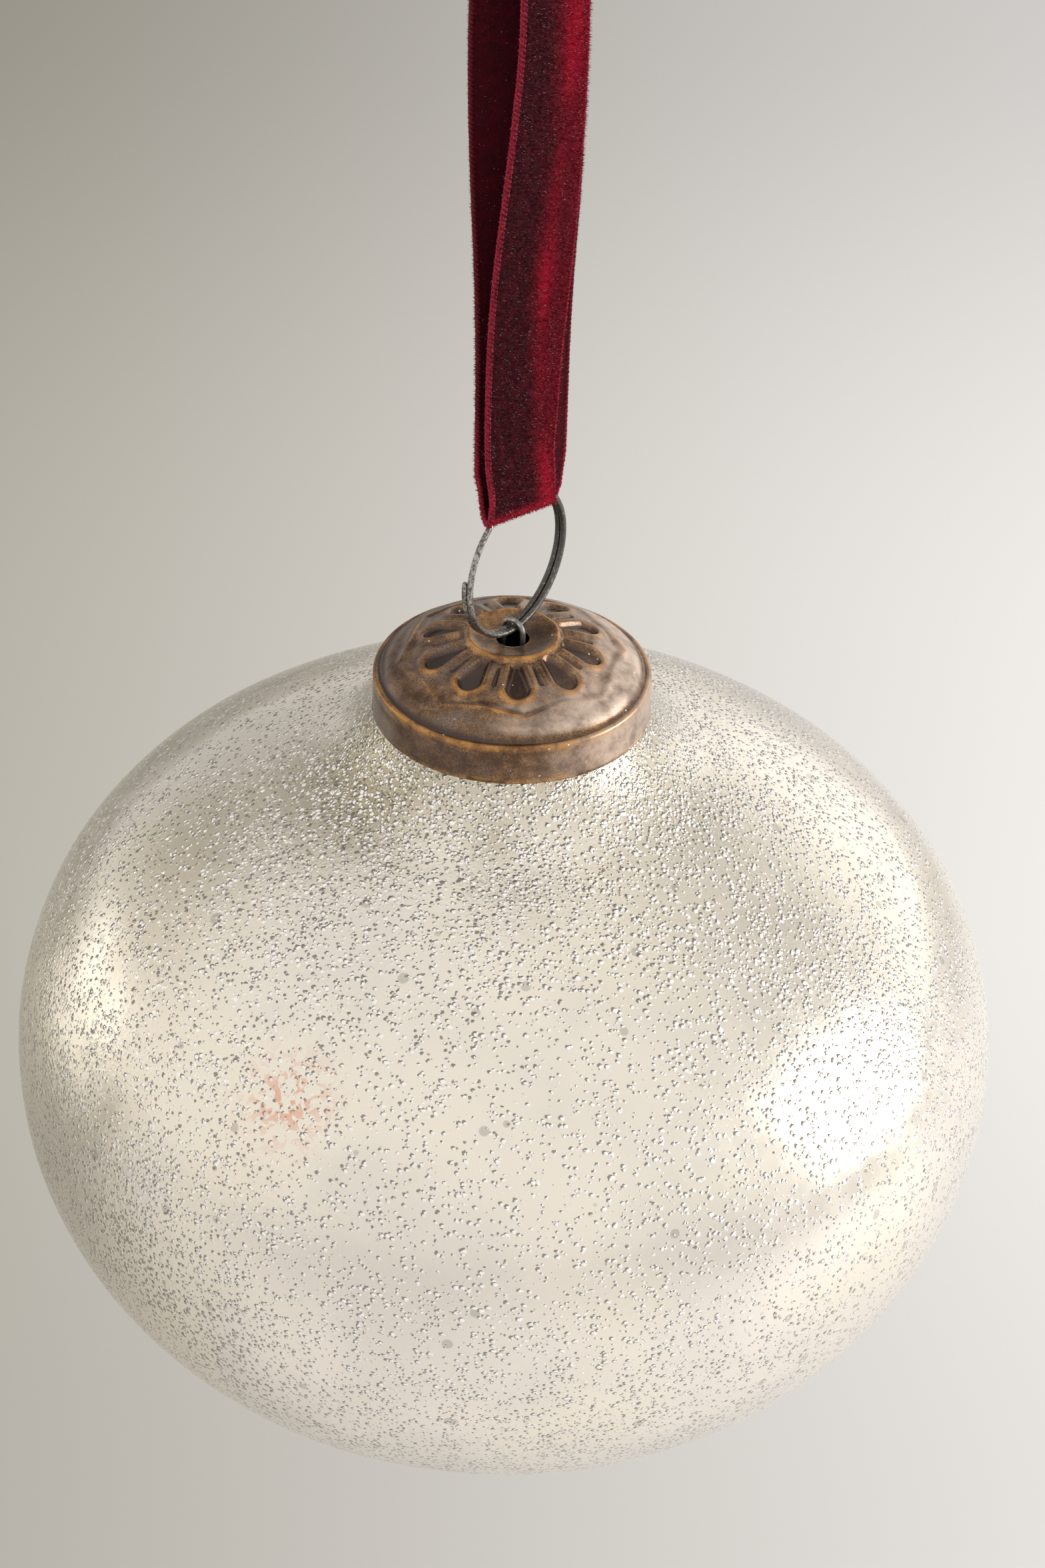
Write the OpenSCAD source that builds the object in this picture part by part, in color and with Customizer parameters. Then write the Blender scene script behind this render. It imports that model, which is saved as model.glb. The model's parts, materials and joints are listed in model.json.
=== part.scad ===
// Glass ball ornament: a blown, silvered glass ball with a stamped brass cap, a sprung wire clip,
// a split ring and a velvet hanging loop. +Z is up and the origin is the lowest point of the glass.
// The split ring lies in a vertical plane turned from X; the loop's width runs along that plane.

/* [Glass ball] */

// Widest diameter of the glass
glass_d = 100; // [80:1:130]

// Thickness of the blown wall
glass_wall = 1.4; // [0.8:0.1:3]

// Radius of the upper shoulder's arc
shoulder_r = 30; // [24:0.5:40]

// Steepness at which the shoulder arc meets the flatter crown arc
shoulder_end = 51; // [40:1:65]

// Radius of the lower belly's arc
belly_r = 36.5; // [30:0.5:44]

// Steepness at which the belly arc meets the flatter base arc
belly_end = 55; // [40:1:65]

// Outside radius of the neck at its narrowest
neck_r = 11.4; // [9:0.1:13]

// Radius of the hollow sweep between the crown and the neck
neck_sweep_r = 14; // [8:0.5:20]

/* [Brass cap] */

// Height of the cap's lower edge above the ball's widest circle
cap_seat = 40; // [36:0.1:44]

// Diameter across the cap's rim
cap_d = 27.2; // [24:0.1:32]

// Height of the cap's plain skirt, from its lower edge to the rim
skirt_h = 4.2; // [3:0.1:7]

// Rise of the dome above the rim
dome_h = 4.35; // [3:0.05:7]

// Thickness of the brass sheet
sheet_t = 0.4; // [0.3:0.05:0.8]

// Diameter of the raised plateau in the middle of the dome
plateau_d = 9; // [6:0.1:12]

// Diameter of the hole for the clip
hole_d = 3.2; // [2.8:0.1:5]

// Number of petals pressed into the dome
petals = 10; // [6:1:16]

// Number of points on the scalloped ridge round the petals
scallops = 8; // [5:1:12]

/* [Split ring and clip] */

// Wire diameter of the split ring
ring_wire = 0.6; // [0.4:0.05:1]

// Radius of the split ring to the middle of its wire
ring_r = 7.43; // [6:0.05:10]

// Direction of the split ring's plane, from X
ring_turn = 54; // [0:1:90]

// Gap between the ring's wire and the edge of the plateau
ring_gap = 0.5; // [0.3:0.05:1.5]

// Wire diameter of the spring clip
clip_wire = 0.55; // [0.4:0.05:0.8]

// Inside width of the clip's eye
eye_w = 1.8; // [1.5:0.05:2.4]

// Height of the clip's legs below the cap
leg_h = 12; // [8:0.5:16]

/* [Velvet loop] */

// Width of the ribbon
ribbon_w = 10; // [6:0.5:16]

// Thickness of the ribbon with its pile
ribbon_t = 0.8; // [0.5:0.05:1.2]

// Distance from the fold's centre to the centre of the top arch
loop_l = 88; // [60:1:120]

// Inside radius of the fold round the split ring
fold_r = 1.45; // [1.4:0.05:2]

// Inside radius of the arch at the top, where a hook goes
arch_r = 4; // [3:0.1:8]

// Length over which the ribbon's two ends overlap
lap_l = 12; // [8:1:20]

// Thickness of the sewing thread
thread_d = 0.35; // [0.2:0.05:0.5]

// Number of stitches along the lap
stitches = 5; // [3:1:9]

/* [Hidden] */

$fn = 96;
wire_fn = 32;
outline_fn = 24;

// A wire swells slightly where it is bent or cut
bend_swell = 1.05;

// Glass: side arcs sit at the widest circle, and the crown and base arcs meet them smoothly
crown_r = (glass_d / 2 - shoulder_r) / cos(shoulder_end) + shoulder_r;
crown_drop = (crown_r - shoulder_r) * sin(shoulder_end);
base_r = (glass_d / 2 - belly_r) / cos(belly_end) + belly_r;
base_drop = (base_r - belly_r) * sin(belly_end);
equator_z = base_r - base_drop;
sweep_x = neck_r + neck_sweep_r;
sweep_z = sqrt(pow(crown_r + neck_sweep_r, 2) - sweep_x * sweep_x) - crown_drop;

// Cap heights, measured from the ball's lowest point
skirt_z = equator_z + cap_seat;
rim_z = skirt_z + skirt_h;
rim_bead_r = 0.35;
lip_gap = 0.06;
plateau_step = 0.3;
dish_h = 0.45;
dome_r = (pow(cap_d / 2 - rim_bead_r, 2) + dome_h * dome_h) / (2 * dome_h);
dome_centre_z = rim_z + dome_h - dome_r;
plateau_z = dome_centre_z + sqrt(dome_r * dome_r - pow(plateau_d / 2, 2)) + plateau_step;
hole_z = plateau_z - dish_h;

// Petals and ridge on the dome
petal_in_r = 5.9;
petal_out_r = 8;
petal_w = 2.3;
petal_depth = 0.16;
outline_r = 0.22;
outline_inset = 0.2;
outline_sink = 0.3 * outline_r;
petal_start = -85.5;
ridge_point_r = 11;
ridge_hollow_r = 9.8;
ridge_w = 0.5;
ridge_h = 0.22;
scallop_start = -82;

// Ring, eye and legs
ring_z = plateau_z + ring_gap + ring_wire / 2 + ring_r;
turn_gap = 0.02;
turn_offset = (ring_wire + turn_gap) / 2;
cut_end_angle = 172;
inner_end_angle = 60;
jog_from = 80;
jog_to = 120;
jog_tilt = asin(turn_offset / (ring_r * sin((jog_to - jog_from) / 2)));
eye_r = (eye_w + clip_wire) / 2;
eye_below_ring = 0.47;
eye_z = ring_z - ring_r - eye_below_ring;
legs_part_below_hole = 2.6;
leg_top_z = hole_z - legs_part_below_hole;
foot_to_glass = 0.2;
foot_x = neck_r - glass_wall - clip_wire / 2 - foot_to_glass;
foot_z = leg_top_z - leg_h;
toe_in = 1.6;
toe_x = foot_x - toe_in;
toe_down = 1.8;
toe_z = foot_z - toe_down;

// Ribbon loop
fold_half_chord = ribbon_w / 2;
fold_sag = ring_r - sqrt(ring_r * ring_r - fold_half_chord * fold_half_chord);
fold_z = ring_z + ring_r - fold_sag / 2;
strand_lean = asin((arch_r - fold_r) / loop_l);
lap_below_arch = 6;
lap_top = loop_l - lap_below_arch;
lap_out = 0.9 * ribbon_t;
stitch_pitch = ribbon_w / (2 * stitches + 2);
stitch_rows = [lap_top - lap_l * 0.25, lap_top - lap_l * 0.75];

glass_ball();
cap();
spring_clip();
split_ring();
ribbon_loop();
lap_stitching();

// Half outline of one end of the ball, above the widest circle: a side arc that runs smoothly
// into a flatter arc about a centre on the axis. inset moves every arc inwards.
module half_oval(side_r, end_r, drop, end_angle, inset) {
    side_x = glass_d / 2 - side_r;
    intersection() {
        translate([side_x, 0])
            circle(side_r - inset);
        square([glass_d, glass_d]);
    }
    intersection() {
        translate([0, -drop])
            circle(end_r - inset);
        polygon([[0, 0], [side_x, 0], [side_x + glass_d * cos(end_angle), glass_d * sin(end_angle)], [0, glass_d]]);
    }
}

// Half outline of the neck and the hollow sweep that joins it to the crown
module neck_outline(inset, top) {
    touch = crown_r / (crown_r + neck_sweep_r);
    touch_x = sweep_x * touch;
    touch_z = (sweep_z + crown_drop) * touch - crown_drop;
    difference() {
        square([touch_x, top]);
        translate([sweep_x, sweep_z])
            circle(neck_sweep_r + inset);
        translate([touch_x, touch_z])
            rotate(atan2(touch_z + crown_drop, touch_x))
                translate([-inset, -glass_d])
                    square([glass_d, glass_d]);
    }
}

module ball_outline(inset, top) {
    half_oval(shoulder_r, crown_r, crown_drop, shoulder_end, inset);
    mirror([0, 1])
        half_oval(belly_r, base_r, base_drop, belly_end, inset);
    neck_outline(inset, top);
}

module glass_ball() {
    lip_r = glass_wall / 2;
    lip_z = rim_z - sheet_t - lip_gap - lip_r - equator_z;
    lip_x = sweep_x - sqrt(pow(neck_sweep_r + lip_r, 2) - pow(sweep_z - lip_z, 2));
    color("Silver", 0.6)
        translate([0, 0, equator_z])
            rotate_extrude()
                union() {
                    difference() {
                        ball_outline(0, lip_z);
                        ball_outline(glass_wall, lip_z + 1);
                    }
                    translate([lip_x, lip_z])
                        circle(lip_r);
                }
}

// Half outline of the cap's sheet: skirt, rolled rim, dome and dished plateau
module cap_outline() {
    rim_r = cap_d / 2;
    union() {
        translate([rim_r - sheet_t, skirt_z])
            square([sheet_t, skirt_h - rim_bead_r]);
        translate([rim_r - rim_bead_r, rim_z - rim_bead_r])
            circle(rim_bead_r);
        intersection() {
            difference() {
                translate([0, dome_centre_z])
                    circle(dome_r);
                translate([0, dome_centre_z])
                    circle(dome_r - sheet_t);
            }
            translate([plateau_d / 2 - sheet_t, rim_z - rim_bead_r])
                square([rim_r - rim_bead_r - plateau_d / 2 + sheet_t, dome_h + 1]);
        }
        polygon([
            [hole_d / 2, hole_z - sheet_t],
            [plateau_d / 2 - sheet_t, plateau_z - sheet_t - plateau_step],
            [plateau_d / 2, plateau_z - sheet_t - plateau_step],
            [plateau_d / 2, plateau_z],
            [plateau_d / 2 - sheet_t, plateau_z],
            [hole_d / 2, hole_z]
        ]);
    }
}

// Places a shape on the dome at a radius and angle: its local XY plane touches the sheet there
module on_dome(radius, angle) {
    lean = asin(radius / dome_r);
    rotate([0, 0, angle])
        translate([0, 0, dome_centre_z])
            rotate([0, lean, 0])
                translate([0, 0, dome_r])
                    children();
}

// Hollow of one petal: a rod with a round outer end, sunk into the sheet
module petal_hollow(angle) {
    mid_r = (petal_in_r + petal_out_r) / 2;
    length = petal_out_r - petal_in_r;
    on_dome(mid_r, angle)
        translate([length / 2, 0, petal_w / 2 - petal_depth]) {
            sphere(petal_w / 2);
            rotate([0, -90, 0])
                cylinder(h = length, r = petal_w / 2);
        }
}

// Raised outline of one petal: an arc round its outer end and a straight bead down each side
module petal_outline(angle) {
    mid_r = (petal_in_r + petal_out_r) / 2;
    length = petal_out_r - petal_in_r;
    side_y = petal_w / 2 - outline_inset;
    on_dome(mid_r, angle)
        translate([length / 2, 0, -outline_sink]) {
            rotate([0, 0, -90])
                rotate_extrude(angle = 180)
                    translate([side_y, 0])
                        circle(outline_r, $fn = outline_fn);
            for (side = [-1, 1])
                translate([0, side * side_y, 0])
                    rotate([0, -90, 0])
                        cylinder(h = length, r = outline_r, $fn = outline_fn);
        }
}

// Scalloped outline seen from above: a polygon whose sides are hollowed by large arcs
module scallop_outline(out) {
    half_step = 180 / scallops;
    half_chord = ridge_point_r * sin(half_step);
    sag = ridge_point_r * cos(half_step) - ridge_hollow_r;
    bow_r = (half_chord * half_chord + sag * sag) / (2 * sag);
    difference() {
        rotate(scallop_start)
            circle(ridge_point_r + out, $fn = scallops);
        for (i = [0 : scallops - 1])
            rotate(scallop_start + half_step + i * 2 * half_step)
                translate([ridge_hollow_r + bow_r, 0])
                    circle(bow_r - out);
    }
}

// Scalloped ridge: a narrow band that follows the outline and stands just proud of the dome
module ridge() {
    intersection() {
        translate([0, 0, rim_z])
            linear_extrude(dome_h)
                difference() {
                    scallop_outline(ridge_w / 2);
                    scallop_outline(-ridge_w / 2);
                }
        translate([0, 0, dome_centre_z])
            difference() {
                sphere(dome_r + ridge_h);
                sphere(dome_r - sheet_t / 2);
            }
    }
}

module cap() {
    color("Peru")
        difference() {
            union() {
                rotate_extrude()
                    cap_outline();
                for (i = [0 : petals - 1])
                    petal_outline(petal_start + i * 360 / petals);
                ridge();
            }
            for (i = [0 : petals - 1])
                petal_hollow(petal_start + i * 360 / petals);
        }
}

// A round wire between two points of the XZ plane, with a round bend at its far end
module wire_between(from, to, wire_d) {
    step = to - from;
    translate([from[0], 0, from[1]])
        rotate([0, atan2(step[0], step[1]), 0])
            cylinder(h = norm(step), r = wire_d / 2, $fn = wire_fn);
    translate([to[0], 0, to[1]])
        sphere(wire_d / 2 * bend_swell, $fn = wire_fn);
}

// Clip: an eye over the ring's wires and two legs that spring out against the neck.
// It lies in the plane square to the split ring.
module spring_clip() {
    color("DimGray")
        rotate([0, 0, ring_turn + 90]) {
            translate([0, 0, eye_z])
                rotate([90, 0, 0])
                    rotate_extrude(angle = 180)
                        translate([eye_r, 0])
                            circle(clip_wire / 2, $fn = wire_fn);
            for (side = [-1, 1]) {
                wire_between([side * eye_r, eye_z], [side * eye_r, leg_top_z], clip_wire);
                wire_between([side * eye_r, leg_top_z], [side * foot_x, foot_z], clip_wire);
                wire_between([side * foot_x, foot_z], [side * toe_x, toe_z], clip_wire);
            }
        }
}

// Part of one turn of the split ring, in the XZ plane, from one angle to another
module ring_arc(from, to) {
    rotate([90, 0, 0])
        rotate([0, 0, from])
            rotate_extrude(angle = to - from)
                translate([ring_r, 0])
                    circle(ring_wire / 2, $fn = wire_fn);
}

// Ring of more than one and a half turns: two turns side by side, joined by a slanted jog
// at the top. Its first cut end shows low on one side, and its second is inside the ribbon's fold.
module split_ring() {
    jog_mid = (jog_from + jog_to) / 2;
    jog_half = (jog_to - jog_from) / 2;
    color("SlateGray")
        translate([0, 0, ring_z])
            rotate([0, 0, ring_turn]) {
                translate([0, turn_offset, 0])
                    ring_arc(cut_end_angle, 360 + jog_from);
                translate([0, -turn_offset, 0])
                    ring_arc(jog_to, 360 + inner_end_angle);
                rotate([0, 90 - jog_mid, 0])
                    rotate([0, 0, jog_tilt])
                        rotate([0, jog_mid - 90, 0])
                            ring_arc(jog_mid - jog_half, jog_mid + jog_half);
                for (joint = [[jog_from, 1], [jog_to, -1]])
                    translate([ring_r * cos(joint[0]), joint[1] * turn_offset, ring_r * sin(joint[0])])
                        sphere(ring_wire / 2 * bend_swell, $fn = wire_fn);
            }
}

// Closed outline of the loop, seen along the ribbon's width: a small fold at the bottom,
// a wider arch at the top and straight strands between them
module loop_outline(out) {
    small = fold_r + out;
    large = arch_r + out;
    nx = cos(strand_lean);
    nz = sin(strand_lean);
    circle(small);
    translate([0, loop_l])
        circle(large);
    polygon([
        [small * nx, -small * nz],
        [large * nx, loop_l - large * nz],
        [-large * nx, loop_l - large * nz],
        [-small * nx, -small * nz]
    ]);
}

// Stands the loop's flat outline up: local X across the strands, local Y up, width along the ring
module in_loop_frame() {
    translate([0, 0, fold_z])
        rotate([0, 0, ring_turn + 90])
            rotate([90, 0, 0])
                children();
}

// Places a shape on the inner face of the strand that carries the lap, at a height up the loop:
// local X points through the ribbon, outwards, and local Y runs up the strand
module on_lap_strand(height) {
    inner_x = (fold_r + height * tan(strand_lean)) / cos(strand_lean);
    translate([inner_x, height])
        rotate(-strand_lean)
            children();
}

module ribbon_loop() {
    color("DarkRed")
        in_loop_frame()
            translate([0, 0, -ribbon_w / 2])
                linear_extrude(ribbon_w)
                    union() {
                        difference() {
                            loop_outline(ribbon_t);
                            loop_outline(0);
                        }
                        on_lap_strand(lap_top - lap_l)
                            translate([-lap_out, 0])
                                square([ribbon_t, lap_l]);
                    }
}

// One row of running stitch through both layers of the lap: bars that take turns on the two
// faces, with a leg through the ribbon between each bar and the next
module stitch_row() {
    faces = [-lap_out, ribbon_t + (ribbon_t - lap_out)];
    for (i = [0 : 2 * stitches])
        translate([faces[i % 2], 0, (i + 0.5) * stitch_pitch - ribbon_w / 2])
            cylinder(h = stitch_pitch, r = thread_d / 2, $fn = wire_fn);
    for (i = [1 : 2 * stitches])
        translate([faces[0], 0, (i + 0.5) * stitch_pitch - ribbon_w / 2]) {
            rotate([0, 90, 0])
                cylinder(h = faces[1] - faces[0], r = thread_d / 2, $fn = wire_fn);
            for (face = [0, faces[1] - faces[0]])
                translate([face, 0, 0])
                    sphere(thread_d / 2 * bend_swell, $fn = wire_fn);
        }
}

module lap_stitching() {
    color("Maroon")
        in_loop_frame()
            for (row = stitch_rows)
                on_lap_strand(row)
                    stitch_row();
}
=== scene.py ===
import json
import math
from collections import namedtuple

import bpy
import numpy as np
from mathutils import Matrix, Vector


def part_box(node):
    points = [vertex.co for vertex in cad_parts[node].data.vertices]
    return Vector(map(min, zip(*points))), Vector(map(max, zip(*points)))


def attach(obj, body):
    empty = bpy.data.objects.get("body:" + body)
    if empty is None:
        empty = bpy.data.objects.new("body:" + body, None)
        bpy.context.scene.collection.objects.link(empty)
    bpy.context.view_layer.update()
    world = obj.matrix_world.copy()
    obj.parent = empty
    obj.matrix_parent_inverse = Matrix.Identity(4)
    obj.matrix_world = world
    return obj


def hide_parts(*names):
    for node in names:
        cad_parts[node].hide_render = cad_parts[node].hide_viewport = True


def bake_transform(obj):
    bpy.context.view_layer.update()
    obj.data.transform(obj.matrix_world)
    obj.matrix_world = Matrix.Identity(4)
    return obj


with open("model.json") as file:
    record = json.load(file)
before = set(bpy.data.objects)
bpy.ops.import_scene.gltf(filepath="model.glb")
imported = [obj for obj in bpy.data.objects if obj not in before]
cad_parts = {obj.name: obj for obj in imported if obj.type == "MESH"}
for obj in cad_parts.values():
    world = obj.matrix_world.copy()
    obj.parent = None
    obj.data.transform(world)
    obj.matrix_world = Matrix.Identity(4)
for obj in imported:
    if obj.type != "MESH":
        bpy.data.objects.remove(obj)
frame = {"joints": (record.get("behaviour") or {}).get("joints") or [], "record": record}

MM = 0.001
random = np.random.default_rng(7)
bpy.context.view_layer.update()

# -------- sizes, from the frame, in millimetres


def box_mm(node):
    """A CAD node's lowest and highest corners."""
    low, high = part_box(node)
    return np.array(low) / MM, np.array(high) / MM


JOINTS = {j["name"]: j for j in frame["joints"]}
MOUNTS = {m["name"]: m for m in frame["record"]["mounts"]}

ball_low, ball_high = box_mm("glass_ball")
cap_low, cap_high = box_mm("cap")
ring_low = box_mm("split_ring")[0]
clip_high = box_mm("spring_clip")[1]

# Glass: arcs that meet smoothly, as shares of the ball's radius
BALL_R = (ball_high[0] - ball_low[0]) / 2
GLASS_WALL = 0.028 * BALL_R
SHOULDER_R = 0.60 * BALL_R
SHOULDER_END = math.radians(51)
BELLY_R = 0.73 * BALL_R
BELLY_END = math.radians(55)
NECK_R = 0.228 * BALL_R
SWEEP_R = 0.28 * BALL_R
CROWN_R = (BALL_R - SHOULDER_R) / math.cos(SHOULDER_END) + SHOULDER_R
CROWN_DROP = (CROWN_R - SHOULDER_R) * math.sin(SHOULDER_END)
BASE_R = (BALL_R - BELLY_R) / math.cos(BELLY_END) + BELLY_R
BASE_DROP = (BASE_R - BELLY_R) * math.sin(BELLY_END)
EQUATOR_Z = BASE_R - BASE_DROP
LIP_Z = ball_high[2]
SMALLEST_R = 1e-4
BALL_COLS = 288
FRECKLES_PER_MM = 0.26

# Cap
CAP_R = (cap_high[0] - cap_low[0]) / 2
SKIRT_Z = cap_low[2]
PLATEAU_Z = cap_high[2]
SKIRT_H = 4.2
RIM_Z = SKIRT_Z + SKIRT_H
RIM_BEAD = 0.35
DOME_H = 4.35
DOME_R = ((CAP_R - RIM_BEAD) ** 2 + DOME_H ** 2) / (2 * DOME_H)
DOME_CENTRE_Z = RIM_Z + DOME_H - DOME_R
PLATEAU_R = 4.5
HOLE_R = 1.6
HOLE_Z = PLATEAU_Z - 0.45
SHEET = 0.4
SKIRT_FLARE = 0.07
CAP_COLS = 720
# The sheet's inner face, as (radius, depth under the dome's own curve)
UNDER_DOME = [(12.6, 0.6), (11, 0.55), (9, 0.6), (7, 0.62), (5.2, 0.55)]
PETALS = 10
PETAL_START = math.radians(-85.5)
PETAL_FROM_R = 5.3
PETAL_TO_R = 7.7
PETAL_HALF_W = (0.72, 1.38)
DART_SPAN = (5.4, 7.5)
DART_HALF_W = (0.08, 0.2)
DENT_R = 10.2
DENT_TURN = math.radians(-141)
SHOULDER_BEAD_R = 11.9
GROOVE_R = 12.85
SCALLOPS = 8
SCALLOP_START = math.radians(-82)
RIDGE_POINT_R = 11.0
RIDGE_HOLLOW_R = 10.1

# Ring and clip, with places along the ring's wire in degrees
RING_CENTRE = np.array(JOINTS["clip_travel"]["pos_m"]) / MM
RING_ALONG = np.array(JOINTS["ring_swing"]["axis"])
RING_NORMAL = np.array(JOINTS["clip_travel"]["axis"])
RING_WIRE_R = 0.3
RING_R = RING_CENTRE[2] - ring_low[2] - RING_WIRE_R
TURN_OFFSET = 0.31
CUT_END = 172
JOG = (80, 120)
INNER_END = 60
RING_STEPS = 520
RING_SIDES = 16
CLIP_WIRE_R = 0.275
CLIP_SIDES = 14
EYE_R = 1.175
EYE_Z = clip_high[2] - EYE_R - CLIP_WIRE_R
LEG_DROP = 2.6
LEG_H = 12
FOOT_GAP = 0.2
TOE_IN = 1.6
TOE_H = 1.8
BEND_R = 0.8

# Ribbon
RIBBON_W = 10.3
WOVEN_T = 0.5
RIBBON_T = 0.8
PIVOT = np.array(JOINTS["ring_swing"]["pos_m"]) / MM
ARCH_CENTRE = np.array(MOUNTS["hang_loop"]["pos_m"]) / MM
ARCH_R = MOUNTS["hang_loop"]["dims"]["r_mm"] + RIBBON_T / 2
FOLD_R = 0.63 + WOVEN_T / 2
FOLD_Z = PIVOT[2] - 0.2
FOLD_TILT = math.radians(-10.5)
STRAND_H = ARCH_CENTRE[2] - FOLD_Z
STRIP_COLS = 44
EDGE_THREAD_R = 0.17
EDGE_THREAD_SIDES = 6
TWIST_PITCH = 0.95
LAP_TOP = STRAND_H - 6
LAP_H = 12
LAP_T = 0.56
STITCHES = 12
STITCH_R = 0.16
OUTSIDE_FIBRES = 110000
INSIDE_FIBRES = 50000
FIBRE_W = 0.07

UP = np.array([0.0, 0.0, 1.0])


# -------- small helpers


def smoothstep(low, high, x):
    """Smooth rise from 0 at low to 1 at high, or a fall where low is the greater."""
    t = np.clip((np.asarray(x, float) - low) / (high - low), 0, 1)
    return t * t * (3 - 2 * t)


def hump(x, centre, width):
    """Smooth bump of height 1 round centre."""
    return np.exp(-(((np.asarray(x, float) - centre) / width) ** 2))


def unit(vectors):
    """Each row scaled to length 1."""
    return vectors / np.linalg.norm(vectors, axis=1)[:, None]


def grid_faces(rows, cols, close_rows=False):
    """Quads between rows of points. Each row is a closed ring, and the last row can join the first."""
    r = np.arange(rows if close_rows else rows - 1)
    r, c = np.meshgrid(r, np.arange(cols), indexing="ij")
    r2, c2 = (r + 1) % rows, (c + 1) % cols
    quads = np.stack([r * cols + c, r * cols + c2, r2 * cols + c2, r2 * cols + c], -1)
    return quads.reshape(-1, 4).tolist()


def new_piece(name, points_mm, faces, materials, body=None, attributes=None, smooth=True):
    """A mesh object from points in millimetres. attributes maps a name to one number for each point."""
    mesh = bpy.data.meshes.new(name)
    mesh.from_pydata((np.reshape(points_mm, (-1, 3)) * MM).tolist(), [], faces)
    mesh.validate()
    mesh.polygons.foreach_set("use_smooth", [smooth] * len(mesh.polygons))
    for key, values in (attributes or {}).items():
        layer = mesh.attributes.new(key, "FLOAT", "POINT")
        layer.data.foreach_set("value", np.ravel(values).astype(np.float32))
    for material in materials:
        mesh.materials.append(material)
    obj = bpy.data.objects.new(name, mesh)
    bpy.context.scene.collection.objects.link(obj)
    if body:
        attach(obj, body)
    return obj


def arc(centre, radius, start, end, steps):
    """Points on a circle in the plane of a profile, as (distance from the axis, height)."""
    a = np.linspace(start, end, steps)
    return np.stack([centre[0] + radius * np.cos(a), centre[1] + radius * np.sin(a)], 1)


def tube(path, radius, sides, closed_ends=True):
    """Points and faces of a round wire along a path. radius is one number or one for each point."""
    path = np.asarray(path, float)
    radius = np.broadcast_to(np.asarray(radius, float), (len(path),))
    tangent = unit(np.gradient(path, axis=0))
    normals = np.zeros_like(path)
    guess = np.cross(tangent[0], UP if abs(tangent[0] @ UP) < 0.9 else np.array([1.0, 0, 0]))
    for i, t in enumerate(tangent):
        guess = guess - (guess @ t) * t
        guess = guess / np.linalg.norm(guess)
        normals[i] = guess
    binormals = np.cross(tangent, normals)
    a = np.linspace(0, 2 * math.pi, sides, endpoint=False)
    ring = np.cos(a)[None, :, None] * normals[:, None] + np.sin(a)[None, :, None] * binormals[:, None]
    points = (path[:, None] + ring * radius[:, None, None]).reshape(-1, 3)
    faces = grid_faces(len(path), sides)
    if closed_ends:
        faces.append(list(range(sides))[::-1])
        faces.append(list(range((len(path) - 1) * sides, len(path) * sides)))
    return points, faces


def join_parts(parts):
    """Joins (points, faces) pairs into one."""
    points, faces, offset = [], [], 0
    for p, f in parts:
        points.append(p)
        faces.extend([[i + offset for i in face] for face in f])
        offset += len(p)
    return np.concatenate(points), faces


def rounded_path(corners, radius, step=0.12):
    """A path through the corners with each inner corner rounded off."""
    corners = [np.asarray(c, float) for c in corners]
    out = [corners[0]]
    for before, corner, after in zip(corners, corners[1:], corners[2:]):
        into, away = corner - before, after - corner
        cut = min(radius, np.linalg.norm(into) * 0.45, np.linalg.norm(away) * 0.45)
        a = corner - into / np.linalg.norm(into) * cut
        b = corner + away / np.linalg.norm(away) * cut
        for t in np.linspace(0, 1, 8):
            out.append((1 - t) ** 2 * a + 2 * t * (1 - t) * corner + t * t * b)
    out.append(corners[-1])
    fine = [out[0]]
    for a, b in zip(out, out[1:]):
        n = max(1, int(np.linalg.norm(b - a) / step))
        fine.extend(a + (b - a) * k / n for k in range(1, n + 1))
    return np.array(fine)


# -------- materials

# The mix node's sockets for colours, by number, because its sockets for other types have the same names
MIX_FACTOR, MIX_A, MIX_B, MIX_RESULT = 0, 6, 7, 2


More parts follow.
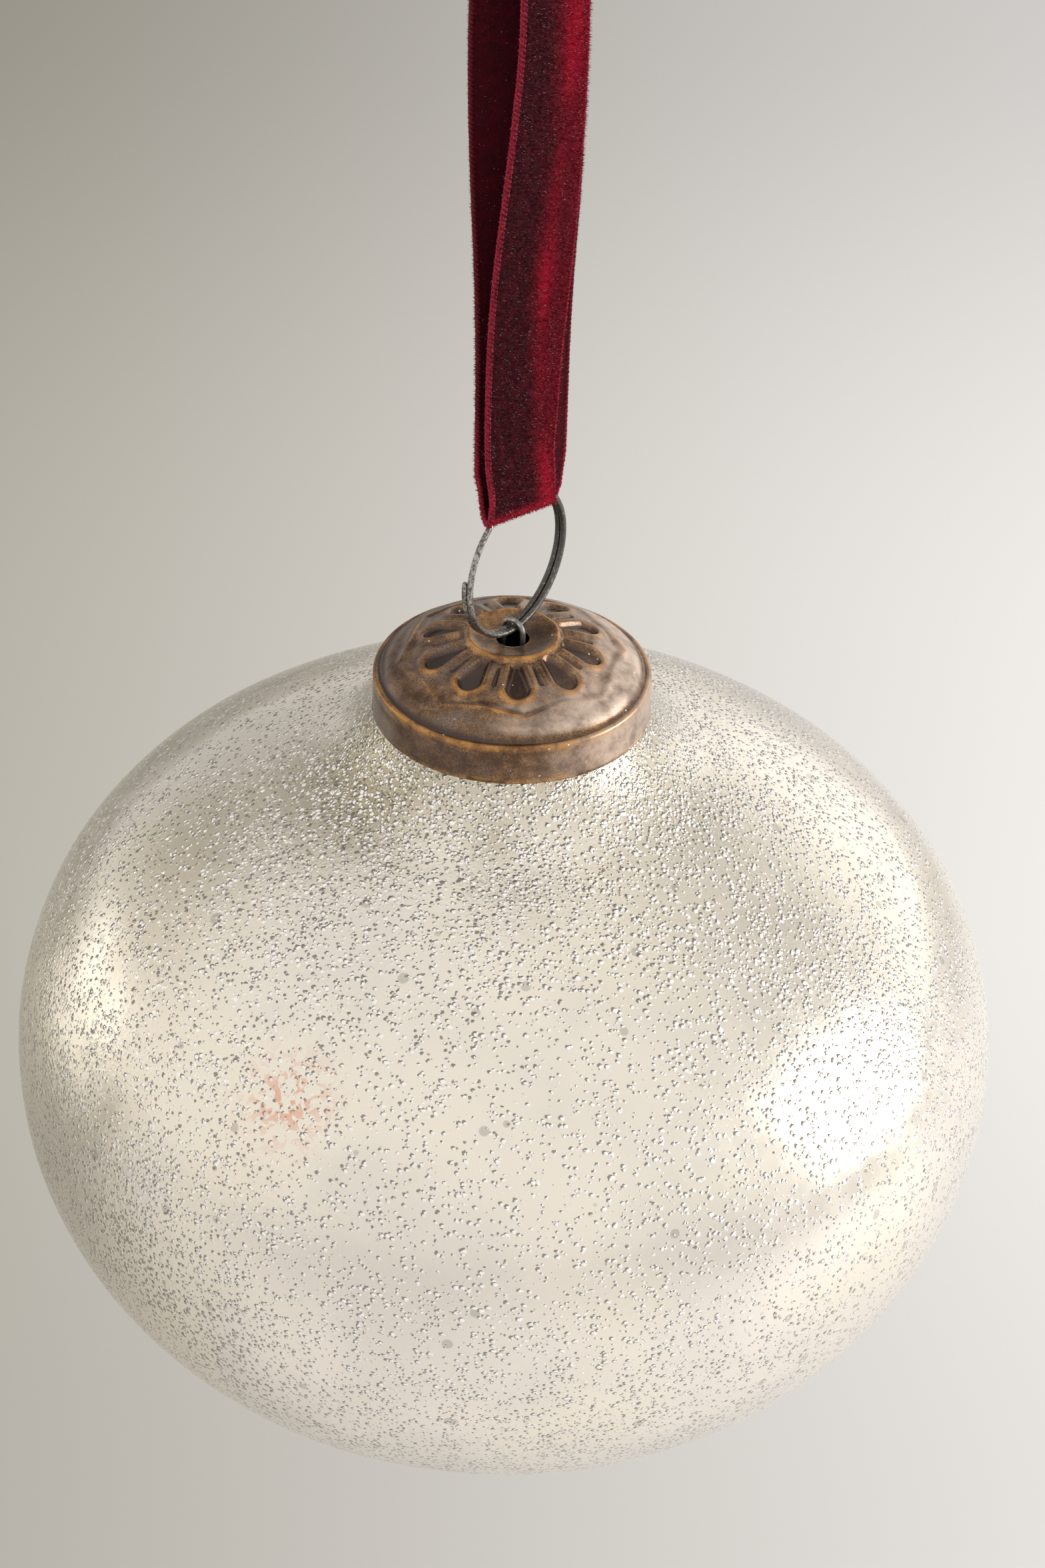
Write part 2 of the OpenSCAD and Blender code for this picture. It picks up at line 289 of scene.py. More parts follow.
class Graph:
    """Builds the nodes of a material or a world. Inputs are numbers, colours or other nodes' outputs."""

    def __init__(self, name, kind=bpy.data.materials):
        self.owner = kind.new(name)
        self.owner.use_nodes = True
        self.tree = self.owner.node_tree
        self.tree.nodes.clear()

    def node(self, kind, inputs=None, **settings):
        n = self.tree.nodes.new(kind)
        for key, value in settings.items():
            setattr(n, key, value)
        for key, value in (inputs or {}).items():
            self.put(n.inputs[key], value)
        return n

    def put(self, socket, value):
        if isinstance(value, bpy.types.NodeSocket):
            self.tree.links.new(value, socket)
        elif isinstance(value, tuple) and len(value) == 3 and socket.type == "RGBA":
            socket.default_value = (*value, 1.0)
        else:
            socket.default_value = value

    def math(self, operation, a, b, c=0.0, clamp=False):
        n = self.node("ShaderNodeMath", {0: a, 1: b, 2: c}, operation=operation, use_clamp=clamp)
        return n.outputs[0]

    def times(self, a, b, plus=None, clamp=False):
        """The product of a and b, and plus where it is given."""
        if plus is None:
            return self.math("MULTIPLY", a, b, clamp=clamp)
        return self.math("MULTIPLY_ADD", a, b, plus, clamp)

    def object_mm(self, stretch=(1, 1, 1)):
        """A place on the object in millimetres, stretched along each axis."""
        coords = self.node("ShaderNodeTexCoord").outputs["Object"]
        return self.vector("MULTIPLY", coords, tuple(s / MM for s in stretch))

    def vector(self, operation, a, b=(0, 0, 0), c=(0, 0, 0)):
        n = self.node("ShaderNodeVectorMath", {0: a, 1: b, 2: c}, operation=operation)
        return n.outputs["Value" if operation in ("LENGTH", "DOT_PRODUCT") else "Vector"]

    def noise(self, vector, scale, detail, roughness=0.55, distortion=0.0):
        inputs = {"Vector": vector, "Scale": scale, "Detail": detail, "Roughness": roughness,
                  "Distortion": distortion}
        return self.node("ShaderNodeTexNoise", inputs).outputs[0]

    def voronoi(self, vector, scale):
        return self.node("ShaderNodeTexVoronoi", {"Vector": vector, "Scale": scale})

    def step(self, value, low, high, to_low=0.0, to_high=1.0):
        """Smooth ramp from to_low at low to to_high at high."""
        inputs = {"Value": value, "From Min": low, "From Max": high, "To Min": to_low, "To Max": to_high}
        n = self.node("ShaderNodeMapRange", inputs, interpolation_type="SMOOTHSTEP")
        return n.outputs[0]

    def mix(self, share, a, b, blend="MIX"):
        """Colour a with share of colour b mixed in."""
        inputs = {MIX_FACTOR: share, MIX_A: a, MIX_B: b}
        n = self.node("ShaderNodeMix", inputs, data_type="RGBA", blend_type=blend)
        return n.outputs[MIX_RESULT]

    def channels(self, colour):
        """A colour's red, green and blue."""
        return self.node("ShaderNodeSeparateColor", {"Color": colour}).outputs

    def attribute(self, name):
        return self.node("ShaderNodeAttribute", attribute_name=name).outputs["Fac"]

    def bump(self, height, distance_mm, strength, normal=None):
        inputs = {"Height": height, "Distance": distance_mm * MM, "Strength": strength}
        if normal is not None:
            inputs["Normal"] = normal
        return self.node("ShaderNodeBump", inputs).outputs[0]

    def finish(self, **inputs):
        """The material, with the main shader's inputs by their names."""
        shader = self.node("ShaderNodeBsdfPrincipled", {k.replace("_", " "): v for k, v in inputs.items()})
        self.node("ShaderNodeOutputMaterial", {"Surface": shader.outputs[0]})
        return self.owner


def pit_layer(g, vector, scale, width, share):
    """Tiny pits about width mm across, scattered by a Voronoi pattern. Each is a dark pit with painted shade
    on one side and a painted glint on the other. Returns (dark pit with painted shade, painted glint, rise)."""
    cells = g.voronoi(vector, scale)
    chances = g.channels(cells.outputs["Color"])
    radius = g.times(chances[0], width * 0.45, plus=width * 0.28)
    present = g.math("LESS_THAN", chances[1], share)
    offset = g.vector("SUBTRACT", vector, cells.outputs["Position"])
    # Painted light: the dark disc sits on the side away from lit_side as painted shade, and the glint sits
    # on the side towards it as a painted highlight.
    lit_side = (0.17 * width, -0.05 * width, -0.16 * width)
    from_shade = g.vector("LENGTH", g.vector("ADD", offset, lit_side))
    from_painted_glint = g.vector("LENGTH", g.vector("SUBTRACT", offset, lit_side))
    dark_and_painted_shade = g.times(g.step(g.math("DIVIDE", from_shade, radius), 1.0, 0.75), present)
    painted_glint = g.times(g.step(g.math("DIVIDE", from_painted_glint, radius), 0.9, 0.6), present)
    rise = g.step(g.math("DIVIDE", g.vector("LENGTH", offset), radius), 1.2, 0.2)
    return dark_and_painted_shade, painted_glint, g.times(rise, present)


def silver_tones(g, mm):
    """Cream and gold in soft patches, olive tarnish with painted shade under the cap, and pale swirled
    streaks.
    """
    patches = g.noise(mm, 0.06, 3.0, 0.5)
    cream = g.mix(g.step(patches, 0.36, 0.64), (0.77, 0.735, 0.66), (0.86, 0.81, 0.72))
    golden = g.times(g.step(g.noise(mm, 0.045, 2.0, 0.4, 0.5), 0.5, 0.68), 0.5)
    cream = g.mix(golden, cream, (0.88, 0.81, 0.66))
    tarnished_and_painted_shade = g.mix(g.attribute("tarnish_and_painted_shade"), cream, (0.44, 0.388, 0.275))
    swirl = g.step(g.noise(g.object_mm((0.3, 0.3, 1.8)), 0.8, 3.0, 0.6, 2.0), 0.60, 0.70)
    return g.mix(g.times(swirl, 0.25), tarnished_and_painted_shade, (0.90, 0.80, 0.62))


def freckles(g, mm):
    """Scattered round freckles under a millimetre across."""
    cells = g.voronoi(mm, FRECKLES_PER_MM)
    chances = g.channels(cells.outputs["Color"])
    from_centre = g.vector("LENGTH", g.vector("SUBTRACT", mm, cells.outputs["Position"]))
    edge = g.math("SUBTRACT", from_centre, g.times(chances[0], 0.3))
    return g.times(g.step(edge, 0.46, 0.34), g.math("LESS_THAN", chances[1], 0.45))


def silvered_glass():
    """Warm antique silvering under clear glass, full of tiny pits that crowd towards the neck, each with
    painted shade on one side and a painted glint on the other.
    """
    g = Graph("silvered_glass")
    mm = g.object_mm()
    tones = silver_tones(g, mm)
    spotted = g.mix(g.times(freckles(g, mm), 0.5), tones, (0.34, 0.335, 0.30))
    clouds = g.step(g.noise(mm, 0.16, 3.0, 0.55), 0.36, 0.66, -0.16, 0.16)
    crowd = g.math("ADD", g.attribute("crowd"), clouds, clamp=True)
    crumple = g.node("ShaderNodeTexNoise", {"Vector": mm, "Scale": 3.0, "Detail": 2.0}).outputs["Color"]
    ragged = g.vector("MULTIPLY_ADD", crumple, (0.32, 0.32, 0.32), g.object_mm((1, 1, 1.2)))
    dark_and_painted_shade_a, painted_glint_a, rise_a = pit_layer(g, ragged, 1.7, 0.44, g.times(crowd, 0.62, plus=0.34))
    fine_share = g.times(g.times(crowd, crowd), 0.75, plus=0.13)
    dark_and_painted_shade_b, painted_glint_b, rise_b = pit_layer(g, ragged, 2.7, 0.32, fine_share)
    dark_and_painted_shade = g.math("MAXIMUM", dark_and_painted_shade_a, dark_and_painted_shade_b)
    # Painted glints: they fade out where the surface turns away from the window, low on the left.
    facing = g.node("ShaderNodeSeparateXYZ", {"Vector": g.node("ShaderNodeTexCoord").outputs["Normal"]})
    lit = g.step(g.times(facing.outputs[2], 0.8, plus=facing.outputs[0]), -0.8, -0.35)
    painted_glint = g.times(g.math("MAXIMUM", painted_glint_a, painted_glint_b), lit)
    pitted = g.mix(g.times(dark_and_painted_shade, 0.76), spotted, (0.11, 0.095, 0.08))
    # The near white glint colour is a painted highlight, and the dark pit colour carries painted shade.
    colour = g.mix(painted_glint, pitted, (0.98, 0.97, 0.95))
    flaws = g.times(g.step(g.noise(mm, 1.0, 2.0, 0.5, 0.8), 0.52, 0.56), g.attribute("flaw"))
    colour = g.mix(g.times(flaws, 0.8), colour, (0.72, 0.27, 0.15))

    crinkle = g.times(g.noise(mm, 2.4, 2.0, 0.6), g.times(crowd, crowd))
    heights = g.math("ADD", rise_a, g.times(rise_b, 0.6))
    heights = g.times(crinkle, 1.3, plus=heights)
    bump = g.bump(heights, 0.12, 0.85)
    roughness = g.step(g.noise(mm, 0.3, 3.0), 0.3, 0.7, 0.22, 0.32)
    roughness = g.math("SUBTRACT", roughness, g.times(painted_glint, 0.1))
    metallic = g.math("SUBTRACT", 0.85, g.times(dark_and_painted_shade, 0.35))
    return g.finish(Base_Color=colour, Metallic=metallic, Roughness=roughness, Normal=bump,
                    Coat_Weight=0.4, Coat_Roughness=0.05, Coat_IOR=1.5, Coat_Normal=bump)


def glass_inside():
    """The inner face of the silvering: dull grey with a greenish cast."""
    g = Graph("glass_inside")
    mm = g.object_mm()
    colour = g.mix(g.step(g.noise(mm, 0.5, 4.0), 0.4, 0.6), (0.22, 0.23, 0.21), (0.38, 0.37, 0.33))
    bump = g.bump(g.noise(mm, 2.0, 4.0), 0.05, 0.6)
    return g.finish(Base_Color=colour, Metallic=0.5, Roughness=0.42, Normal=bump)


def clear_lip():
    """The neck's clear glass: pale grey green."""
    g = Graph("clear_lip")
    mm = g.object_mm()
    colour = g.mix(g.step(g.noise(mm, 0.8, 4.0), 0.4, 0.6), (0.34, 0.37, 0.32), (0.52, 0.53, 0.47))
    bump = g.bump(g.noise(mm, 1.6, 4.0), 0.06, 0.6)
    return g.finish(Base_Color=colour, Metallic=0.15, Roughness=0.16, Normal=bump, Coat_Weight=0.6)


def aged_brass():
    """Umber brown patina, rubbed to ochre on raised edges, darkest in the hollows, with painted shade on the
    left and a paler painted reflection on the right.
    """
    g = Graph("aged_brass")
    mm = g.object_mm()
    wear_and_painted_reflection = g.attribute("wear_and_painted_reflection")
    hollow = g.attribute("hollow")
    mottle = g.noise(mm, 0.55, 5.0, 0.65)
    grain = g.noise(mm, 6.0, 3.0, 0.7)
    umber = g.mix(g.step(mottle, 0.35, 0.65), (0.125, 0.062, 0.026), (0.36, 0.207, 0.108))
    umber = g.mix(g.step(g.noise(mm, 0.22, 3.0), 0.5, 0.7), umber, (0.255, 0.175, 0.13))
    grainy = g.mix(g.step(grain, 0.40, 0.60), g.mix(0.6, umber, (0.04, 0.024, 0.015)), umber)
    # Where the attribute is below zero it marks a painted reflection; above zero it darkens real hollows and
    # paints shade on the left.
    painted_reflection_share = g.times(hollow, -1.0, clamp=True)
    painted_reflection = g.times(painted_reflection_share, g.step(mottle, 0.25, 0.70, 0.35, 1.1))
    painted_reflection_colour = g.mix(painted_reflection, grainy, (0.66, 0.53, 0.44))
    dark_and_painted_shade = g.mix(g.times(hollow, 0.85, clamp=True), painted_reflection_colour, (0.055, 0.036, 0.030))
    wear_noise = g.times(g.math("SUBTRACT", grain, 0.5), 0.7, plus=wear_and_painted_reflection)
    wear_noise = g.times(g.math("SUBTRACT", mottle, 0.5), 0.9, plus=wear_noise)
    edge = g.step(wear_noise, 0.22, 1.05)
    ochre = g.mix(g.step(mottle, 0.4, 0.6), (0.36, 0.145, 0.028), (0.55, 0.27, 0.065))
    rubbed_with_painted_reflection = g.mix(g.times(edge, 0.92), dark_and_painted_shade, ochre)
    dust_cells = g.voronoi(mm, 1.1)
    chance = g.channels(dust_cells.outputs["Color"])[0]
    dust = g.times(g.step(dust_cells.outputs["Distance"], 0.12, 0.07), g.math("LESS_THAN", chance, 0.16))
    colour = g.mix(dust, rubbed_with_painted_reflection, (0.85, 0.78, 0.70))
    bump = g.bump(grain, 0.02, 0.8)
    bump = g.bump(mottle, 0.08, 0.4, bump)
    roughness = g.times(mottle, 0.18, plus=g.times(edge, 0.04, plus=0.20))
    roughness = g.times(painted_reflection, 0.16, plus=roughness)
    metallic = g.math("SUBTRACT", 0.82, g.times(dust, 0.82))
    return g.finish(Base_Color=colour, Metallic=metallic, Roughness=roughness, Normal=bump,
                    Coat_Weight=0.3, Coat_Roughness=0.16)


def dark_steel(name, base, bright, scratch_share):
    """Darkened wire with pitted, scratched bright patches, most where the wire is rubbed and, on the ring,
    on one side painted brighter as a painted reflection.
    """
    g = Graph(name)
    mm = g.object_mm()
    rubbed_with_painted_reflection = g.attribute("wear_and_painted_reflection")
    pits = g.noise(mm, 3.2, 5.0, 0.7)
    long_marks = g.noise(g.object_mm((1, 1, 0.3)), 5.0, 4.0, 0.7)
    marks = g.math("ADD", g.times(pits, 0.6), g.times(long_marks, 0.4))
    wear_and_painted_reflection = g.step(g.times(rubbed_with_painted_reflection, 0.1, plus=marks), 0.52, 0.52 + scratch_share)
    colour = g.mix(wear_and_painted_reflection, base, bright)
    bump = g.bump(pits, 0.05, 0.8)
    roughness = g.step(wear_and_painted_reflection, 0.0, 1.0, 0.42, 0.24)
    return g.finish(Base_Color=colour, Metallic=0.95, Roughness=roughness, Normal=bump)


def velvet(name, brighten=1.0):
    """Burgundy pile, painted near black as if looking into it and painted red where it would lean to the
    light, with painted shade between tufts and painted glints on bright tips.
    """
    g = Graph(name)
    mm = g.object_mm()
    painted_sheen = g.attribute("painted_sheen")
    tufts = g.noise(mm, 6.5, 3.0, 0.75)
    clumps = g.noise(mm, 1.1, 3.0, 0.6)
    deep = tuple(c * brighten for c in (0.032, 0.003, 0.007))
    red = tuple(c * brighten for c in (0.40, 0.004, 0.026))
    # Painted sheen: the colour goes from deep to red as the painted sheen rises, and the tufts' low places
    # get painted shade.
    lean = g.math("ADD", painted_sheen, g.times(clumps, 0.36, plus=-0.18), clamp=True)
    colour = g.mix(lean, deep, red)
    shade = g.step(tufts, 0.3, 0.55, 0.5, 0.0)
    colour = g.mix(shade, colour, (0.010, 0.001, 0.002))
    colour = g.mix(g.step(g.attribute("tip"), 0.35, 0.8), colour, (0.95, 0.62, 0.58))
    bump = g.bump(tufts, 0.22, 1.0)
    return g.finish(Base_Color=colour, Roughness=0.85, Normal=bump, Sheen_Weight=0.04,
                    Sheen_Roughness=0.35, Sheen_Tint=(1.0, 0.35, 0.42), Specular_IOR_Level=0.12)


def cord():
    """The ribbon's woven edge: a crimson thread, painted darker with painted shade where the shade attribute
    is set.
    """
    g = Graph("selvedge_cord")
    mm = g.object_mm()
    twist = g.noise(mm, 5.0, 3.0, 0.6)
    colour = g.mix(g.step(twist, 0.35, 0.65), (0.11, 0.003, 0.011), (0.36, 0.014, 0.040))
    colour = g.mix(g.attribute("shade"), colour, (0.05, 0.002, 0.005))
    bump = g.bump(g.noise(g.object_mm((1, 1, 0.4)), 9.0, 3.0), 0.05, 0.9)
    return g.finish(Base_Color=colour, Roughness=0.75, Normal=bump, Sheen_Weight=0.06,
                    Sheen_Tint=(1.0, 0.4, 0.5), Specular_IOR_Level=0.2)


def thread():
    """Dark red sewing thread with a twist in it."""
    g = Graph("sewing_thread")
    mm = g.object_mm()
    twist = g.node("ShaderNodeTexWave", {"Vector": mm, "Scale": 2.4, "Distortion": 1.0},
                   bands_direction="DIAGONAL").outputs[1]
    colour = g.mix(twist, (0.10, 0.008, 0.02), (0.30, 0.03, 0.06))
    return g.finish(Base_Color=colour, Roughness=0.75, Normal=g.bump(twist, 0.05, 0.8), Sheen_Weight=0.3)


def paper_floor():
    """Pale paper with painted light: painted shade to the left, far away and in a band near the ball, and
    painted light brightest in front of the ball.
    """
    g = Graph("pale_floor_painted_light")
    mm = g.object_mm()
    place = g.node("ShaderNodeSeparateXYZ", {"Vector": mm})
    # Painted light: these ramps stand in for the room's light falling across the paper.
    to_right = g.step(place.outputs[0], -220, 220)
    far_painted_shade = g.step(place.outputs[1], 380, 740, 1.0, 0.74)
    near = g.step(place.outputs[1], 120, 300, 0.87, 1.0)
    painted_light_tone = g.mix(to_right, (0.393, 0.380, 0.325), (0.925, 0.925, 0.94))
    shade = g.times(far_painted_shade, near)
    painted_shade_grey = g.node("ShaderNodeCombineColor", {0: shade, 1: shade, 2: shade}).outputs[0]
    painted_light_tone = g.mix(1.0, painted_light_tone, painted_shade_grey, "MULTIPLY")
    # Painted light: the paper is painted brightest in front of the ball.
    painted_light_tone = g.mix(g.step(place.outputs[1], 105, -140), painted_light_tone, (0.89, 0.885, 0.90))
    return g.finish(Base_Color=painted_light_tone, Roughness=0.9, Normal=g.bump(g.noise(mm, 1.5, 3.0), 0.02, 0.3))


# -------- glass ball


def ball_profile(inset):
    """The glass outline from the bottom of the ball to its lip, moved inwards by inset."""
    side_x = BALL_R - SHOULDER_R
    belly_x = BALL_R - BELLY_R
    sweep_x = NECK_R + SWEEP_R
    sweep_z = math.sqrt((CROWN_R + SWEEP_R) ** 2 - sweep_x ** 2) - CROWN_DROP
    touch = math.atan2(sweep_z + CROWN_DROP, sweep_x)
    lip_z = LIP_Z - EQUATOR_Z - GLASS_WALL / 2
    lip_angle = math.pi + math.asin((sweep_z - lip_z) / (SWEEP_R + GLASS_WALL / 2))
    parts = [
        arc((0, BASE_DROP), BASE_R - inset, -math.pi / 2, -BELLY_END, 40),
        arc((belly_x, 0), BELLY_R - inset, -BELLY_END, 0, 50)[1:],
        arc((side_x, 0), SHOULDER_R - inset, 0, SHOULDER_END, 40)[1:],
        arc((0, -CROWN_DROP), CROWN_R - inset, SHOULDER_END, touch, 30)[1:],
        arc((sweep_x, sweep_z), SWEEP_R + inset, math.pi + touch, lip_angle, 18)[1:],
    ]
    profile = np.concatenate(parts)
    profile[:, 1] += EQUATOR_Z
    return profile


# Places on the glass, as (turn from the front, height over the equator in radii, width in radii, amount)
# The tarnish table holds real tarnish and painted shade: the places high on the neck, most on the left, are
# painted shade under the cap.
TARNISH_AND_PAINTED_SHADE = [(-76, 0.57, 0.22, 0.50), (-62, 0.45, 0.18, 0.22), (-80, 0.70, 0.10, 0.6), (-52, 0.71, 0.12, 1.0),
           (-5, 0.71, 0.05, 0.5), (66, 0.70, 0.13, 0.4), (70, 0.58, 0.16, 0.12), (55, 0.52, 0.26, 0.24),
           (-37, -0.05, 0.3, 0.15), (150, 0.44, 0.3, 0.45), (-140, 0.2, 0.4, 0.4), (95, -0.2, 0.4, 0.3)]
CROWDED = [(-72, 0.33, 0.45, 0.5), (-40, 0.0, 0.3, 0.35), (52, 0.45, 0.28, 0.4), (80, 0.2, 0.35, 0.3),
           (0, -0.34, 0.45, 0.25), (170, 0.2, 0.5, 0.4), (-150, -0.1, 0.4, 0.3), (120, 0.0, 0.35, 0.3),
           (-50, 0.70, 0.12, 0.4)]
SMOOTH = [(5, 0.35, 0.3, 0.25), (46, 0.31, 0.2, 0.2), (100, 0.37, 0.2, 0.2), (-72, 0.50, 0.22, 0.4),
          (-115, 0.60, 0.25, 0.5)]
FLAWED = [(-28, 0.40, 0.075, 0.8)]


def blotches(points, places):
    """Sum of soft round blotches at places on the glass."""
    total = np.zeros(len(points))
    outline = ball_profile(0)
    for turn, height, width, amount in places:
        a = math.radians(turn)
        z = EQUATOR_Z + height * BALL_R
        reach = np.interp(z, outline[:, 1], outline[:, 0])
        centre = np.array([reach * math.sin(a), -reach * math.cos(a), z])
        apart = np.linalg.norm(points - centre, axis=1) / (width * BALL_R)
        total += amount * np.exp(-apart ** 2)
    return total


def share_up(low, high, z):
    """Smooth rise from 0 to 1 between two heights over the equator, given in ball radii."""
    return smoothstep(EQUATOR_Z + low * BALL_R, EQUATOR_Z + high * BALL_R, z)


def silvering(points):
    """How crowded with pits, how tarnished and painted with shade, and how flawed the silvering is at each
    point.
    """
    z = points[:, 2]
    crowd = 0.2 + 0.7 * share_up(0.45, 0.78, z) + blotches(points, CROWDED) - blotches(points, SMOOTH)
    # The rise just under the cap is painted shade from the cap.
    tarnish_and_painted_shade = blotches(points, TARNISH_AND_PAINTED_SHADE) + 0.6 * share_up(0.68, 0.80, z)
    amounts = {"crowd": crowd, "tarnish_and_painted_shade": tarnish_and_painted_shade, "flaw": blotches(points, FLAWED)}
    return {name: np.clip(values, 0, 1) for name, values in amounts.items()}


def blown_unevenness(r, z, angle):
    """Slow waves in the blown glass, which die out at its lowest point and under the cap."""
    wave = 0.09 * np.sin(2 * angle + z / 17) + 0.06 * np.sin(3 * angle - z / 9 + 1)
    wave = wave + 0.035 * np.sin(5 * angle + z / 5 + 2) + 0.02 * np.sin(9 * angle - z / 3.1)
    return wave * (1 - share_up(0.55, 0.72, z)) * np.clip(r / 12, 0, 1)


def build_ball():
    """The glass, from its lowest point up the outside, over the lip and down the inside."""
    outside = ball_profile(0)
    inside = ball_profile(GLASS_WALL)[::2][::-1]
    lip_centre = (outside[-1] + inside[0]) / 2
    lip = arc(lip_centre, GLASS_WALL / 2, 0, math.pi, 9)[1:-1]
    profile = np.concatenate([outside, lip, inside])
    angle = np.linspace(0, 2 * math.pi, BALL_COLS, endpoint=False)
    r, z = profile[:, :1], profile[:, 1:]
    r = np.maximum(r + blown_unevenness(r, z, angle), SMALLEST_R)
    points = np.stack([r * np.cos(angle), r * np.sin(angle), np.broadcast_to(z, r.shape)], -1).reshape(-1, 3)
    obj = new_piece("silver_ball", points, grid_faces(len(profile), BALL_COLS),
                    [silvered_glass(), clear_lip(), glass_inside()], "ball", silvering(points))
    # Material slots: silvered glass, then clear lip, then inside
    slots = np.zeros(len(profile) - 1, int)
    in_neck = (outside[:, 1] > SKIRT_Z + 0.6) & (outside[:, 0] < 0.5 * BALL_R)
    slots[int(np.argmax(in_neck)):] = 1
    slots[len(outside) + len(lip):] = 2
    obj.data.polygons.foreach_set("material_index", np.repeat(slots, BALL_COLS).astype(np.int32))
    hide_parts("glass_ball")


# -------- brass cap


def capsule_distance(x, y, x0, x1, w0, w1):
    """Signed distance to a spoon outline along x: half width w0 at x0 grows to w1 at x1."""
    t = np.clip((x - x0) / (x1 - x0), 0, 1)
    return np.hypot(x - (x0 + t * (x1 - x0)), y) - (w0 + t * (w1 - w0))


def ridge_radius(theta):
    """Radius of the scalloped ridge: out at each point, in between them."""
    lobe = ((theta - SCALLOP_START) / (2 * math.pi) * SCALLOPS) % 1
    towards_point = np.abs(lobe - 0.5) * 2
    return RIDGE_HOLLOW_R + (RIDGE_POINT_R - RIDGE_HOLLOW_R) * towards_point ** 1.7


def petal_relief(r, theta):
    """Spoon-shaped hollow petals with raised beads round them, and a narrow dart between each two."""
    height, wear_and_painted_reflection, hollow = np.zeros((3, *r.shape))
    for k in range(PETALS):
        wobble = 0.02 * math.sin(k * 2.4)
        reach = 0.12 * math.sin(k * 1.7 + 1)
        a = PETAL_START + 2 * math.pi * k / PETALS + wobble
        x, y = r * np.cos(theta - a), r * np.sin(theta - a)
        d = capsule_distance(x, y, PETAL_FROM_R, PETAL_TO_R + reach, *PETAL_HALF_W)
        near = x > 0
        floor = smoothstep(0.02, -0.5, d) * near
        bead = hump(d, 0.20, 0.46) * near * smoothstep(4.4, 5.4, x)
        height += 0.27 * bead - 0.38 * floor
        wear_and_painted_reflection = np.maximum(wear_and_painted_reflection, hump(d, 0.24, 0.42) * near * (0.38 + 0.36 * smoothstep(6.4, 8.4, x)))
        hollow = np.maximum(hollow, floor)
        half = a + math.pi / PETALS
        x, y = r * np.cos(theta - half), r * np.sin(theta - half)
        dart = capsule_distance(x, y, *DART_SPAN, *DART_HALF_W)
        cut = smoothstep(0.16, -0.14, dart) * (x > 0)
        height -= 0.22 * cut
        hollow = np.maximum(hollow, 0.85 * cut)
    return height, wear_and_painted_reflection, hollow


def cap_relief(r, theta):
    """Height pressed into the dome at each place, with how worn and how hollow it is. Less than no hollow is
    a painted reflection, a hazy, paler place."""
    height, wear_and_painted_reflection, hollow = petal_relief(r, theta)
    rs = ridge_radius(theta)
    height += 0.17 * hump(r, rs, 0.42) - 0.12 * hump(r, rs - 0.9, 0.6)
    patchy = 0.52 + 0.22 * np.sin(3 * theta + 0.8) + 0.16 * np.sin(7 * theta)
    wear_and_painted_reflection = np.maximum(wear_and_painted_reflection, patchy * hump(r, rs, 0.26))
    height += 0.16 * hump(r, SHOULDER_BEAD_R, 0.62)
    dent = hump(r, DENT_R, 1.0) * hump(theta, DENT_TURN, 0.13)
    height -= 0.36 * dent
    wear_and_painted_reflection = np.maximum(wear_and_painted_reflection, 0.5 * dent)
    groove = hump(r, GROOVE_R, 0.32)
    height -= 0.22 * groove
    hollow = np.maximum(hollow, 0.9 * groove)
    # Painted reflection: a paler haze along the shoulder, most on the right, and inside the front of the
    # ridge
    hollow -= hump(r, 11.7, 1.0) * (0.42 + 0.58 * np.cos(theta + math.radians(15)))
    hollow -= 0.45 * hump(r, 9.85, 0.5) * smoothstep(0.3, 0.9, -np.sin(theta))
    return height, wear_and_painted_reflection, hollow


def dome_z(r):
    """Height of the plain dome."""
    return DOME_CENTRE_Z + np.sqrt(DOME_R ** 2 - r ** 2)


def dome_outline():
    """The cap's outline from the hole's edge over the dished plateau and the dome."""
    plateau = np.concatenate([np.linspace(HOLE_R + 0.12, 4.15, 14), np.linspace(4.22, 4.98, 13)])
    petals = np.linspace(5.08, 9.55, 44)
    ridge = np.linspace(9.65, 11.75, 24)
    shoulder = np.linspace(11.85, 13.1, 12)
    r = np.concatenate([plateau, petals, ridge, shoulder])
    t = np.clip((r - HOLE_R) / (PLATEAU_R - 0.25 - HOLE_R), 0, 1)
    dish = HOLE_Z + (PLATEAU_Z - HOLE_Z) * t ** 1.6
    on_dome = smoothstep(4.3, 4.95, r)
    return np.stack([r, dish * (1 - on_dome) + (dome_z(r) - 0.02) * on_dome], 1)


def rim_and_skirt():
    """Outlines of the rolled rim and of the skirt, which flares a little."""
    rim = arc((CAP_R - RIM_BEAD, RIM_Z - RIM_BEAD), RIM_BEAD, math.radians(105), 0, 9)
    z = np.linspace(RIM_Z - 2 * RIM_BEAD, SKIRT_Z + 0.2, 12)
    flare = SKIRT_FLARE * (1 - (z - SKIRT_Z) / SKIRT_H) - 0.05 * hump(z, RIM_Z - 1.0, 0.35)
    return rim, np.stack([CAP_R + flare, z], 1)


def cap_inside():
    """Outline of the skirt's lower edge, the sheet's inner face and the side of the hole."""
    edge = arc((CAP_R + SKIRT_FLARE - SHEET / 2, SKIRT_Z + SHEET / 2), SHEET / 2, 0, -math.pi, 7)
    inner_r = CAP_R - SHEET
    under_dome = [[r, dome_z(r) - depth] for r, depth in UNDER_DOME]
    inside = [[inner_r, SKIRT_Z + 1.5], [inner_r, RIM_Z - 0.8], *under_dome, [4.0, PLATEAU_Z - 0.62],
              [2.4, HOLE_Z - 0.35], [HOLE_R + 0.05, HOLE_Z - 0.36]]
    bore = [[HOLE_R, HOLE_Z - 0.3], [HOLE_R, HOLE_Z - 0.1], [HOLE_R + 0.04, HOLE_Z - 0.03]]
    return np.concatenate([edge, inside, bore])


